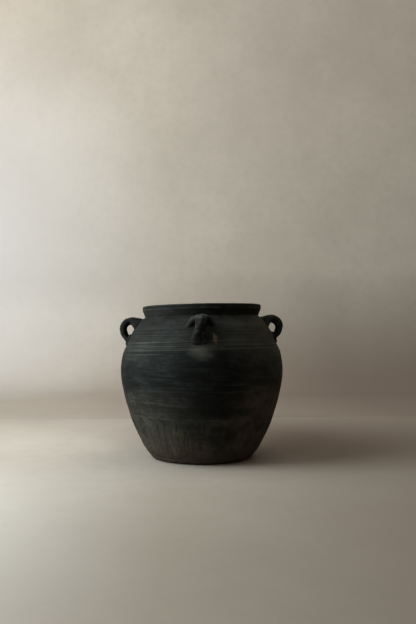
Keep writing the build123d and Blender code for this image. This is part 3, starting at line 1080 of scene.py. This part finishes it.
def plaster(name):
    """Plain pale plaster, faintly clouded, with painted shade to the right, low down, at a seam, near,
    behind and beside the jar, and painted pools of light at the left.
    """
    n = Nodes(name)
    place = n.add("TexCoord").outputs["Object"]
    x, y, z = n.add("SeparateXYZ", {"Vector": place}).outputs
    side = n.range(x, -0.35, 0.55)
    clouds = n.noise(place, 2.0, 6.0, 0.6)
    fine = n.noise(place, 28.0, 5.0, 0.65)
    tone = n.mix(n.range(clouds, 0.3, 0.7), PLASTER_DARK, PLASTER_LIGHT)
    tone = n.mix(n.range(fine, 0.45, 0.8, 0.0, 0.25), tone, PLASTER_GRAIN)
    tone = n.mix(n.times(side, n.range(z, 0.05, 0.5, 0.76, 0.16)), tone, SHADE_RIGHT)
    beyond = n.maths("GREATER_THAN", n.maths("ADD", y, n.times(side, -0.06)), SEAM_Y)
    seam = n.times(beyond, n.range(z, 0.0, 0.5, 1.0, 0.0))
    seam = n.times(seam, n.range(x, -0.5, 0.2, 0.12, 0.45))
    tone = n.mix(seam, tone, SHADE_SEAM)
    tone = n.mix(n.range(z, 0.0, 0.05, 0.16, 0.0), tone, SHADE_LOW)
    # painted pool of light on the floor at the front-left
    near_left = n.times(n.range(y, 0.0, -0.7), n.range(side, 0.0, 0.34, 0.62, 0.0))
    tone = n.mix(near_left, tone, FLOOR_LIGHT_POOL)
    near_right = n.times(n.range(y, 0.3, -0.6), side)
    tone = n.mix(near_right, tone, SHADE_NEAR)
    behind = n.times(n.range(y, 0.1, 0.55), n.range(z, 0.0, 0.3, 0.35, 0.0))
    tone = n.mix(behind, tone, SHADE_BEHIND)
    # painted pool of light on the wall at the left
    tone = n.mix(n.range(n.distance(place, LIGHT_POOL_AT), 0.15, 1.05, 0.75, 0.0), tone, WALL_LIGHT_POOL)
    # painted shadow of the jar on the floor beside it
    beside = n.range(n.distance(place, JAR_SHADOW_AT), 0.06, 0.45, 0.76, 0.0)
    tone = n.mix(beside, tone, SHADE_BESIDE)
    n.link(tone, "Base Color")
    n.shader.inputs["Roughness"].default_value = 0.9
    n.shader.inputs["Specular IOR Level"].default_value = 0.15
    bump = n.add("Bump", {"Height": fine, "Distance": 1.5 * MM, "Strength": 0.3})
    n.link(bump.outputs[0], "Normal")
    return n.material


# --- The jar ---
BURNISHED = clay("burnished_clay", SKIN_DARK, SKIN_LIGHT, 0.70, 1.0, 0.5)
GROOVED = clay("grooved_clay", SKIN_DARK, SKIN_LIGHT, 0.74, 0.6, 0.9)
SCRAPED = clay("scraped_clay", SKIN_DARK, SKIN_LIGHT, 0.78, 0.4, 1.3)
RIM = clay("rim_clay", RIM_DARK, RIM_LIGHT, 0.70, 0.4, 0.8)
HANDLE = clay("handle_clay", HANDLE_DARK, HANDLE_LIGHT, 0.70, 0.1, 1.0)

base_line = BASE_JOINT_Z + 0 * TURNS
ledge_line = ledge_height(TURNS)
band_line = band_edge(TURNS)
neck_line = NECK_Z - 0.3 * MM + 0 * TURNS
BASE_DROP, WALL_DROP, NECK_DROP = -8 * MM, 5 * MM, 4 * MM  # how far each joint falls inwards

stand_for(base_piece(), "base_disc", SCRAPED)
ring = wall_ring("lower_wall_clay", base_line, ledge_line, BASE_DROP, WALL_DROP)
stand_for(ring, "lower_wall", SCRAPED)
ring = wall_ring("belly_wall_clay", ledge_line, band_line, WALL_DROP, WALL_DROP)
stand_for(ring, "belly_wall", BURNISHED)
ring = wall_ring("shoulder_wall_clay", band_line, neck_line, WALL_DROP, NECK_DROP)
stand_for(ring, "shoulder_wall", GROOVED)
stand_for(lip_piece(), "rim_collar", RIM)
for handle_side, row in HANDLES.items():
    handle_pieces(handle_side, dict(zip(HANDLE_KEYS, row, strict=True)), HANDLE)


# --- Stage, light and camera ---
STAGE = 4.0  # half the backdrop's width, and its height
WALL_Y = 1.75  # the backdrop's upright part
COVE_R = 0.45  # the curve that joins it to the floor
CAMERA_AT = Vector((0, -1.501, 0.262))
CAMERA_UP, CAMERA_ASIDE = math.radians(0.917), math.radians(-0.474)


def stage_surface(name, outline, material):
    """A backdrop swept along X from an outline of Y, Z points."""
    points = [(x, y, z) for x in (-STAGE, STAGE) for y, z in outline]
    count = len(outline)
    faces = [(i, i + 1, count + i + 1, count + i) for i in range(count - 1)]
    mesh = bpy.data.meshes.new(name)
    mesh.from_pydata(points, [], faces)
    mesh.polygons.foreach_set("use_smooth", [True] * len(mesh.polygons))
    mesh.materials.append(material)
    thing = added(name, mesh)


def area_light(name, at, aim, size, power, colour):
    """A rectangular lamp at a place, turned to an aim, its power in watts; not seen itself."""
    lamp = bpy.data.lights.new(name, "AREA")
    lamp.shape = "RECTANGLE"
    lamp.size, lamp.size_y = size
    lamp.energy = power
    lamp.color = colour
    thing = added(name, lamp)
    thing.location = at
    thing.rotation_euler = (Vector(aim) - Vector(at)).to_track_quat("-Z", "Y").to_euler()
    thing.visible_camera = False


cove = [(-STAGE, 0.0)]
for step in range(13):
    bend = math.radians(7.5 * step)
    cove.append((WALL_Y - COVE_R + COVE_R * math.sin(bend), COVE_R * (1 - math.cos(bend))))
cove.append((WALL_Y, STAGE))
stage_surface("backdrop", cove, plaster("backdrop_plaster"))
area_light("window", (-1.52, -0.44, 1.02), (0, 0.0, 0.15), (1.1, 1.8), 52, (0.90, 0.985, 1.0))
area_light("wall_wash", (-1.6, 0.7, 2.0), (-0.6, 1.75, 1.2), (1.6, 1.6), 27, (1.0, 0.97, 0.93))
area_light("ceiling", (0.7, 0.3, 2.4), (0.1, 0.1, 0.0), (2.0, 2.0), 17, (1.0, 0.95, 0.88))
world = bpy.data.worlds.new("room")
world.use_nodes = True
background = world.node_tree.nodes["Background"]
background.inputs["Color"].default_value = (0.90, 0.77, 0.61, 1)
background.inputs["Strength"].default_value = 0.24
bpy.context.scene.world = world

camera = bpy.data.cameras.new("camera")
camera.sensor_width = 36.0
camera.lens = 43.50
eye = added("camera", camera)
eye.location = CAMERA_AT
eye.rotation_euler = (math.radians(90) + CAMERA_UP, 0, CAMERA_ASIDE)
bpy.context.scene.camera = eye
bpy.context.scene.view_settings.view_transform = "Standard"
